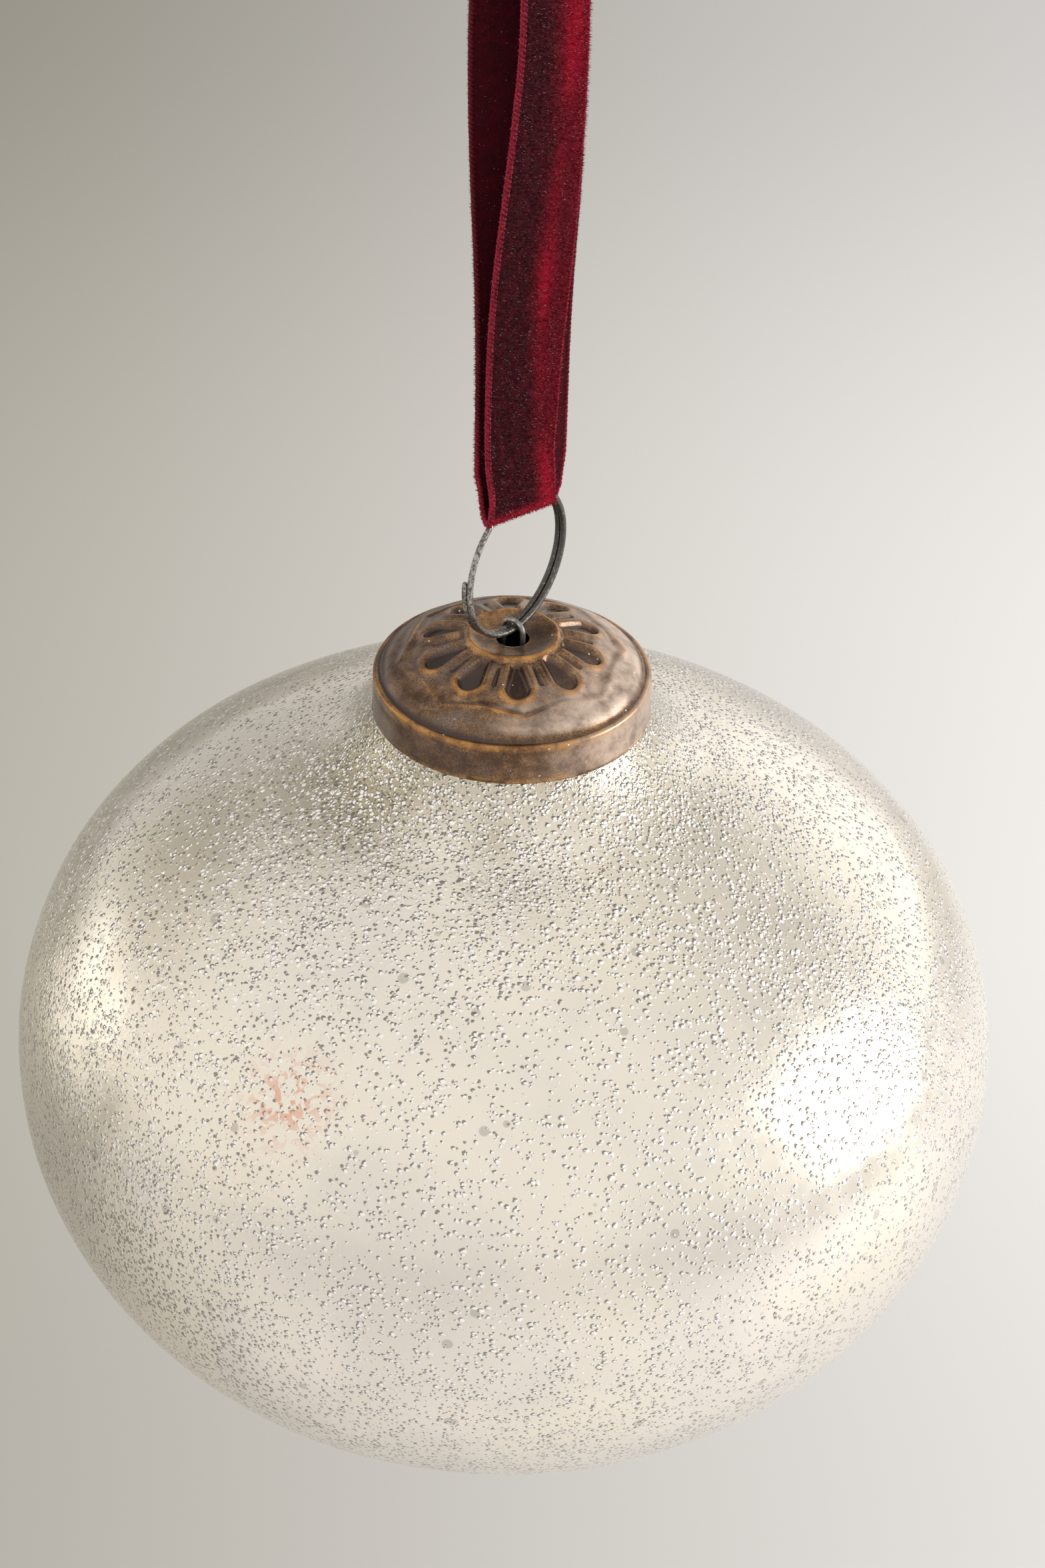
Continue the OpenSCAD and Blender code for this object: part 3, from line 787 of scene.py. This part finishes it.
def dress_dome(r, theta):
    """Height, wear and hollows over the whole top: the stamped relief, then the plateau's raised edge."""
    beyond_plateau = smoothstep(4.6, 5.1, r)
    height, wear_and_painted_reflection, hollow = (layer * beyond_plateau for layer in cap_relief(r, theta))
    plateau_edge = hump(r, PLATEAU_R - 0.1, 0.45)
    lobed = 0.05 * np.cos(PETALS * (theta - PETAL_START)) * hump(r, PLATEAU_R + 0.25, 0.5)
    height += 0.12 * plateau_edge + lobed
    wear_and_painted_reflection = np.maximum(wear_and_painted_reflection, 0.8 * plateau_edge)
    wear_and_painted_reflection = np.maximum(wear_and_painted_reflection, 0.45 * hump(r, HOLE_R, 0.35))
    wear_and_painted_reflection = np.maximum(wear_and_painted_reflection, (0.36 - 0.14 * np.cos(theta)) * smoothstep(4.9, 4.4, r))
    hollow += 0.35 * smoothstep(4.3, 3.2, r)
    return height, wear_and_painted_reflection, hollow


def build_cap():
    """The stamped cap, from the hole over the dome, round the rim, down the skirt and back inside."""
    dome = dome_outline()
    rim, skirt = rim_and_skirt()
    profile = np.concatenate([dome, rim, skirt, cap_inside()])
    on_dome = slice(0, len(dome))
    on_rim = slice(on_dome.stop, on_dome.stop + len(rim))
    on_skirt = slice(on_rim.stop, on_rim.stop + len(skirt))
    on_side = slice(on_rim.start, on_skirt.stop)
    shape = (len(profile), CAP_COLS)
    theta = np.linspace(-math.pi, math.pi, CAP_COLS, endpoint=False)
    angle = np.broadcast_to(theta, shape)
    r = np.broadcast_to(profile[:, :1], shape).copy()
    z = np.broadcast_to(profile[:, 1:], shape).copy()
    relief, wear_and_painted_reflection, hollow = np.zeros((3, *shape))
    relief[on_dome], wear_and_painted_reflection[on_dome], hollow[on_dome] = dress_dome(r[on_dome], angle[on_dome])
    wear_and_painted_reflection[on_rim] = 0.62 + 0.10 * np.sin(2 * angle[on_rim] - 0.4) + 0.06 * np.sin(9 * angle[on_rim])
    # The top and the lower edge of the skirt are rubbed too
    wear_and_painted_reflection[on_skirt.start:on_skirt.start + 2] = 0.38
    wear_and_painted_reflection[on_skirt.stop - 2:on_skirt.stop + 3] = 0.5
    # Painted light: the left side is painted darker as shade, and the right side paler as a painted
    # reflection, as if lit from the right.
    to_right = np.cos(angle)
    painted_side_light = 0.6 * smoothstep(0.12, -0.35, to_right) - 0.8 * smoothstep(0.0, 0.95, to_right)
    hollow[on_dome] += 0.6 * painted_side_light[on_dome] * smoothstep(6, 9, r[on_dome])
    hollow[on_side] += painted_side_light[on_side]
    r[on_skirt] += 0.02 * np.sin(7 * angle[on_skirt] + 1) + 0.012 * np.sin(17 * angle[on_skirt])
    uneven = 0.03 * np.sin(3 * angle + 0.5) + 0.02 * np.sin(5 * angle + 2)
    z += relief + uneven * smoothstep(5, 9, r)
    points = np.stack([r * np.cos(angle), r * np.sin(angle), z], -1)
    obj = new_piece("brass_cap", points, grid_faces(*shape, close_rows=True), [aged_brass()], "cap",
                    {"wear_and_painted_reflection": wear_and_painted_reflection, "hollow": hollow})
    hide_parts("cap")


# -------- wire parts


def build_ring():
    """One wire, coiled for about a turn and two thirds, that steps sideways where it starts to overlap."""
    degrees = np.linspace(CUT_END, 360 * 2 + INNER_END, RING_STEPS)
    past_jog = smoothstep(360 + JOG[0], 360 + JOG[1], degrees)
    offset = TURN_OFFSET * (1 - 2 * past_jog)
    a = np.radians(degrees)
    path = (RING_CENTRE + np.outer(RING_R * np.cos(a), RING_ALONG) + np.outer(RING_R * np.sin(a), UP)
            + np.outer(offset, RING_NORMAL))
    radius = np.full(len(path), RING_WIRE_R)
    radius[[0, -1]] *= 0.72
    radius[[1, -2]] *= 0.93
    points, faces = tube(path, radius, RING_SIDES)
    # Painted reflection: one side of the ring is marked to get more bright patches, as if it reflected the
    # bright room.
    wear_and_painted_reflection = np.repeat(smoothstep(0.35, -0.75, np.cos(a)), RING_SIDES)
    steel = dark_steel("ring_steel", (0.10, 0.092, 0.085), (0.46, 0.44, 0.40), 0.18)
    obj = new_piece("dark_split_ring", points, faces, [steel], "ring", {"wear_and_painted_reflection": wear_and_painted_reflection})
    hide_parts("split_ring")


def build_clip():
    """One bent wire: the eye over the cap's hole, and two legs that spread down the neck and turn in."""
    foot_x = NECK_R - GLASS_WALL - CLIP_WIRE_R - FOOT_GAP
    leg_top = HOLE_Z - LEG_DROP
    foot_z = leg_top - LEG_H
    right_leg = [(foot_x - TOE_IN, foot_z - TOE_H), (foot_x, foot_z), (EYE_R, leg_top), (EYE_R, EYE_Z)]
    left_leg = [(-x, z) for x, z in right_leg[::-1]]
    eye = arc((0, EYE_Z), EYE_R, 0, math.pi, 25)[1:-1]
    flat = np.concatenate([rounded_path(right_leg, BEND_R), eye, rounded_path(left_leg, BEND_R)])
    path = np.outer(flat[:, 0], RING_NORMAL) + np.outer(flat[:, 1], UP)
    points, faces = tube(path, CLIP_WIRE_R, CLIP_SIDES)
    steel = dark_steel("clip_steel", (0.22, 0.22, 0.21), (0.60, 0.59, 0.55), 0.2)
    obj = new_piece("clip_wire", points, faces, [steel], "clip", {"wear_and_painted_reflection": np.full(len(points), 0.5)})
    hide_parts("spring_clip")


# -------- velvet ribbon

# The ribbon's middle line round the whole loop, with its direction, the directions across the ribbon
# and out of it, and how much each sample belongs to the front strand
RibbonPath = namedtuple("RibbonPath", "centre tangent width outward on_front")


def heading(turn, tilt):
    """Unit vectors turned from X by turn degrees, and tilted from level by tilt radians."""
    a = np.radians(turn)
    return np.stack([np.cos(a) * np.cos(tilt), np.sin(a) * np.cos(tilt), np.sin(tilt)], -1)


def strand_state(h, front):
    """Middle of a strand at heights h above the fold's centre, and the direction of its width.
    Both strands leave the fold side by side and twist apart on the way up, then meet at the arch."""
    tilt = FOLD_TILT * (1 - smoothstep(0, 7, h))
    close = smoothstep(STRAND_H - 36, STRAND_H, h)
    if front:
        across = -FOLD_R + 0.26 * smoothstep(2, 6, h) - 2.5 * smoothstep(8, 52, h)
        across = across * (1 - close) - ARCH_R * close
        along = -0.15 - 0.05 * smoothstep(0, 5, h) + 0.2 * smoothstep(20, 60, h)
        turn = 54 + 3.5 * hump(h, 3.5, 3) - 6 * hump(h, 25, 13) + 3.5 * hump(h, 52, 8)
    else:
        across = FOLD_R * (1 - close) + ARCH_R * close
        along = 1.9 - 0.1 * smoothstep(0, 4, h) - 1.8 * smoothstep(25, 80, h)
        turn = 44 - 6 * smoothstep(0, 4, h) - 22 * hump(h, 41, 15) + 16 * smoothstep(55, 86, h)
    centre = np.outer(across, RING_NORMAL) + np.outer(along, RING_ALONG) + np.outer(FOLD_Z + h, UP)
    return centre, heading(turn, tilt)


def half_turn(start, end, steps, outward, depth):
    """Points strictly between start and end on the half ellipse that bulges by depth along outward."""
    a = np.linspace(0, math.pi, steps + 2)[1:-1]
    middle, half = (start + end) / 2, (start - end) / 2
    return middle + np.outer(np.cos(a), half) + np.outer(np.sin(a), outward) * depth


def ribbon_path():
    """The loop from the arch down the front strand, round the fold and back up."""
    heights = np.concatenate([np.linspace(STRAND_H, 8, 150), np.linspace(7.8, 0, 28)])
    front_c, front_w = strand_state(heights, True)
    back_c, back_w = strand_state(heights[::-1], False)
    fold_down = np.cross(front_w[-1], RING_NORMAL)
    fold_down *= -np.sign(fold_down[2])
    fold_c = half_turn(front_c[-1], back_c[0], 24, fold_down, FOLD_R)
    arch_c = half_turn(back_c[-1], front_c[0], 32, UP, ARCH_R)
    fold_w = np.linspace(front_w[-1], back_w[0], 26)[1:-1]
    arch_w = np.linspace(back_w[-1], front_w[0], 34)[1:-1]
    centre = np.concatenate([front_c, fold_c, back_c, arch_c])
    width = np.concatenate([front_w, fold_w, back_w, arch_w])
    tangent = unit(np.roll(centre, -1, 0) - np.roll(centre, 1, 0))
    outward = unit(np.cross(tangent, width))
    on_front = np.concatenate([np.ones(len(front_c)), np.linspace(1, 0, len(fold_c)), np.zeros(len(back_c)),
                               np.linspace(0, 1, len(arch_c))])
    return RibbonPath(centre, tangent, width, outward, on_front)


def painted_ribbon_sheen(across, h, on_front, facing_out):
    """Painted sheen: how red the pile is painted at height h, as if it leaned to the light, in soft, broken
    streaks that follow the right half of the front strand, the right edge of the back one, and the fold."""
    streak = 0.70 + 0.05 * np.sin(h / 7 + 1) + 0.10 * smoothstep(9, 0, h)
    broken = 0.62 + 0.25 * np.sin(h / 4.1 + 2) + 0.13 * np.sin(h / 1.7)
    front = 0.06 + 0.84 * broken * hump(across, streak, 0.13)
    front = front * (1 - 0.8 * smoothstep(50, 62, h)) + 0.32 * smoothstep(0.72, 0.96, across)
    front = front + 0.26 * smoothstep(30, 55, h) * smoothstep(0.3, 0.6, across)
    low_edge = 0.35 * smoothstep(45, 25, h) * smoothstep(0.8, 0.95, across)
    top_streak = 0.6 * smoothstep(52, 66, h) * hump(across, 0.22, 0.06)
    back = 0.03 + 0.55 * smoothstep(0.55, 0.85, across) + low_edge + top_streak
    fold = smoothstep(0.9, -0.3, h)
    face = np.maximum(front * on_front + back * (1 - on_front), 0.75 * fold)
    return np.where(facing_out, face, 0.12)


def strip_section(half_width, half_thick, rounding, power):
    """Section of a flat strip with rounded edges, as distances across it and out of it."""
    v = np.linspace(-1, 1, STRIP_COLS)
    thick = half_thick * (1 - rounding * np.abs(v) ** power)
    return np.concatenate([v, v[::-1]]) * half_width, np.concatenate([thick, -thick[::-1]])


def swept_strip(centre, width, outward, section, roughness):
    """Points of a strip's section swept along a path, roughened a little. One row for each sample."""
    across, out = section
    rough = random.normal(0, roughness, (len(centre), len(across)))
    return (centre[:, None] + width[:, None] * across[None, :, None]
            + outward[:, None] * (out[None, :] + rough)[..., None])


def build_ribbon(path):
    """The cloth under the pile."""
    section = strip_section(RIBBON_W / 2, WOVEN_T / 2, 0.3, 12)
    across, out = section
    points = swept_strip(path.centre, path.width, path.outward, section, 0.012)
    heights = path.centre[:, 2:] - FOLD_Z
    painted_sheen = painted_ribbon_sheen(across / RIBBON_W + 0.5, heights, path.on_front[:, None], out > 0)
    faces = grid_faces(*points.shape[:2], close_rows=True)
    return new_piece("velvet_ribbon", points, faces, [velvet("velvet_cloth")], attributes={"painted_sheen": painted_sheen})


def resample(path, count):
    """The closed path at count even steps, and its length."""
    closed = np.concatenate([path.centre, path.centre[:1]])
    length = np.concatenate([[0], np.cumsum(np.linalg.norm(np.diff(closed, axis=0), axis=1))])
    at = np.linspace(0, length[-1], count, endpoint=False)
    out = []
    for values in path:
        values = values.reshape(len(values), -1)
        looped = np.concatenate([values, values[:1]])
        out.append(np.stack([np.interp(at, length, column) for column in looped.T], 1))
    return RibbonPath(*out), length[-1]


def build_selvedges(path):
    """Two twisted threads along each edge of the ribbon."""
    even, length = resample(path, 1500)
    closed = np.append(np.arange(len(even.centre)), 0)
    phase = np.linspace(0, 2 * math.pi * round(length / TWIST_PITCH), len(even.centre))[:, None]
    parts = []
    for side in (-1, 1):
        edge = even.centre + even.width * side * (RIBBON_W / 2 - 0.02)
        for start in (0, math.pi):
            twisted = (edge + even.width * side * 0.12 * np.cos(phase + start)
                       + even.outward * 0.19 * np.sin(phase + start))
            parts.append(tube(twisted[closed], EDGE_THREAD_R, EDGE_THREAD_SIDES, closed_ends=False))
    points, faces = join_parts(parts)
    # Painted shade: the back strand's edge threads are painted darker above the fold.
    behind = (1 - even.on_front[closed, 0]) * smoothstep(3, 12, even.centre[closed, 2] - FOLD_Z)
    shade = np.tile(np.repeat(0.7 * behind, EDGE_THREAD_SIDES), len(parts))
    return new_piece("ribbon_selvedges", points, faces, [cord()], attributes={"shade": shade})


def build_pile(path, name, side, count, length):
    """Short flat fibres standing on one face of the ribbon, each a triangle. They lean a little every
    way, and outwards along the ribbon's edges."""
    even = resample(path, 2400)[0]
    row = random.integers(0, len(even.centre), count)
    centre, tangent, width, outward, on_front = (values[row] for values in even)
    v = random.uniform(-1, 1, count)
    v = np.where(random.random(count) < 0.07, np.sign(v), v)
    spread = random.normal(0, 0.24, (count, 2))
    face = outward * side
    base = centre + width * (v * RIBBON_W / 2)[:, None] + face * (WOVEN_T / 2 - 0.06)
    base += tangent * random.uniform(-0.05, 0.05, count)[:, None]
    past_edge = 0.75 * (np.abs(v) > 0.97) * np.sign(v)
    lean = unit(face + tangent * spread[:, :1] + width * (spread[:, 1:] + past_edge[:, None]))
    height = centre[:, 2] - FOLD_Z
    shorter_at_fold = 1 - 0.2 * smoothstep(1.0, -0.3, height)
    tall = length * random.uniform(0.6, 1.15, count) * shorter_at_fold
    flat = unit(np.cross(lean, random.normal(0, 1, (count, 3))))
    half_w = flat * (FIBRE_W / 2 * random.uniform(0.7, 1.3, count))[:, None]
    points = np.stack([base - half_w, base + half_w, base + lean * tall[:, None]], 1)
    painted_sheen = painted_ribbon_sheen(v / 2 + 0.5, height, on_front[:, 0], side > 0)
    painted_sheen = np.clip(painted_sheen + random.normal(0, 0.10, count), 0, 1)
    # Painted glints: about one fibre in ten gets a bright painted tip.
    bright = (random.random(count) < 0.10) * random.uniform(0.6, 1.3, count)
    glint_at_tip = np.outer(bright, (0, 0, 1))
    faces = np.arange(3 * count).reshape(-1, 3).tolist()
    return new_piece(name, points, faces, [velvet("velvet_" + name, 1.3)], smooth=False,
                     attributes={"painted_sheen": np.repeat(painted_sheen, 3), "tip": glint_at_tip})


def build_lap():
    """The ribbon's cut end, which lies inside the back strand near the top of the loop. Returns the
    direction that is inwards there."""
    centre, width = strand_state(np.linspace(LAP_TOP - LAP_H, LAP_TOP, 40), False)
    inward = unit(np.cross(unit(np.gradient(centre, axis=0)), width))
    inward *= -np.sign(inward[0] @ RING_NORMAL)
    section = strip_section(RIBBON_W / 2 - 0.1, LAP_T / 2, 0.5, 8)
    points = swept_strip(centre + inward * (WOVEN_T / 2 + 0.3), width, inward, section, 0.01)
    rows, cols = points.shape[:2]
    faces = grid_faces(rows, cols)
    faces.append(list(range(cols)))
    faces.append(list(range((rows - 1) * cols, rows * cols))[::-1])
    lap = new_piece("ribbon_end", points, faces, [velvet("velvet_end")], "ribbon",
                    {"painted_sheen": np.full(rows * cols, 0.35)})
    return inward[0]


def build_stitches(inward):
    """Two rows of running stitches across the lap."""
    pitch = RIBBON_W / STITCHES
    rows = np.array([LAP_TOP - LAP_H / 4, LAP_TOP - 3 * LAP_H / 4])
    parts = []
    for centre, width in zip(*strand_state(rows, False)):
        inner = centre + inward * (WOVEN_T / 2 + 0.62)
        outer = centre - inward * (WOVEN_T / 2 + 0.1)
        corners = []
        for i in range(STITCHES - 1):
            face = inner if i % 2 == 0 else outer
            start = (i + 0.5) * pitch - RIBBON_W / 2
            corners += [face + width * start, face + width * (start + pitch)]
        parts.append(tube(rounded_path(corners, 0.2, 0.06), STITCH_R, 8))
    points, faces = join_parts(parts)
    stitches = new_piece("lap_stitches", points, faces, [thread()], "ribbon")
    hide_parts("lap_stitching")


def build_loop():
    """The velvet ribbon: its cloth, edges and pile, folded round at the bottom of the loop where it meets
    the ring, and its stitched end.
    """
    path = ribbon_path()
    ribbon = build_ribbon(path)
    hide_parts("ribbon_loop")
    pieces = [ribbon, build_selvedges(path), build_pile(path, "pile_outside", 1, OUTSIDE_FIBRES, 0.42),
              build_pile(path, "pile_inside", -1, INSIDE_FIBRES, 0.26)]
    for piece in pieces:
        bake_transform(piece)
    build_stitches(build_lap())


# -------- studio

FLOOR_REACH = 4000
FLOOR_Z = -160


def build_floor():
    """A wide sheet of paper, well below the hanging ball."""
    r, z = FLOOR_REACH, FLOOR_Z
    corners = [(-r, -r, z), (r, -r, z), (r, r, z), (-r, r, z)]
    floor = new_piece("floor", corners, [[0, 1, 2, 3]], [paper_floor()], smooth=False)


def area_light(name, place, size, power, colour):
    """A rectangular light, in metres, turned to the middle of the ball."""
    data = bpy.data.lights.new(name, "AREA")
    data.shape = "RECTANGLE"
    data.size, data.size_y = size
    data.energy = power
    data.color = colour
    light = bpy.data.objects.new(name, data)
    light.location = place
    direction = Vector((0, 0, EQUATOR_Z * MM)) - Vector(place)
    light.rotation_euler = direction.to_track_quat("-Z", "Y").to_euler()
    bpy.context.scene.collection.objects.link(light)


def build_lights():
    """A window to the right, and a dimmer one behind on the left."""
    area_light("window_right", (0.62, -0.04, 0.17), (0.23, 0.25), 2.1, (1.0, 0.99, 0.985))
    area_light("window_left", (-0.65, 0.26, 0.03), (0.30, 0.38), 0.3, (1.0, 0.97, 0.93))


def build_room():
    """A pale room with two dimmer patches and a brighter one low on the right. Each patch has a place,
    the cosines of the angles from it where it ends and where it is full, and an amount."""
    g = Graph("studio", bpy.data.worlds)
    direction = g.node("ShaderNodeTexCoord").outputs["Generated"]
    strength = 0.96
    patches = [((0.50, 0.56, 0.66), 0.78, 0.98, -0.24), ((-0.33, 0.80, 0.50), 0.78, 0.98, -0.48),
               ((0.66, 0.73, 0.18), 0.86, 0.99, 0.60)]
    for place, edge, core, amount in patches:
        towards = g.vector("DOT_PRODUCT", direction, Vector(place).normalized())
        strength = g.math("ADD", strength, g.step(towards, edge, core, 0, amount))
    background = g.node("ShaderNodeBackground", {"Color": (1.0, 0.965, 0.92), "Strength": strength})
    g.node("ShaderNodeOutputWorld", {"Surface": background.outputs[0]})
    bpy.context.scene.world = g.owner
    bpy.context.scene.view_settings.view_transform = "Standard"


def build_camera():
    """A camera 35 degrees above the horizon that looks at a point over the middle of the ball."""
    elevation = math.radians(34.97)
    roll = math.radians(1.42)
    distance = 8 * BALL_R * MM
    look_at = Vector((0.0256 * BALL_R, 0, EQUATOR_Z + 0.6124 * BALL_R)) * MM
    forward = Vector((0, math.cos(elevation), -math.sin(elevation)))
    right, up = Vector((1, 0, 0)), Vector((0, math.sin(elevation), math.cos(elevation)))
    cam_right = right * math.cos(roll) + up * math.sin(roll)
    cam_up = up * math.cos(roll) - right * math.sin(roll)
    data = bpy.data.cameras.new("camera")
    data.sensor_fit = "VERTICAL"
    data.sensor_height = 36
    data.lens = 2.5661 * data.sensor_height
    data.clip_start = 0.01
    camera = bpy.data.objects.new("camera", data)
    turn = Matrix((cam_right, cam_up, -forward)).transposed().to_4x4()
    camera.matrix_world = Matrix.Translation(look_at - forward * distance) @ turn
    bpy.context.scene.collection.objects.link(camera)
    bpy.context.scene.camera = camera


build_ball()
build_cap()
build_ring()
build_clip()
build_loop()
build_floor()
build_lights()
build_room()
build_camera()
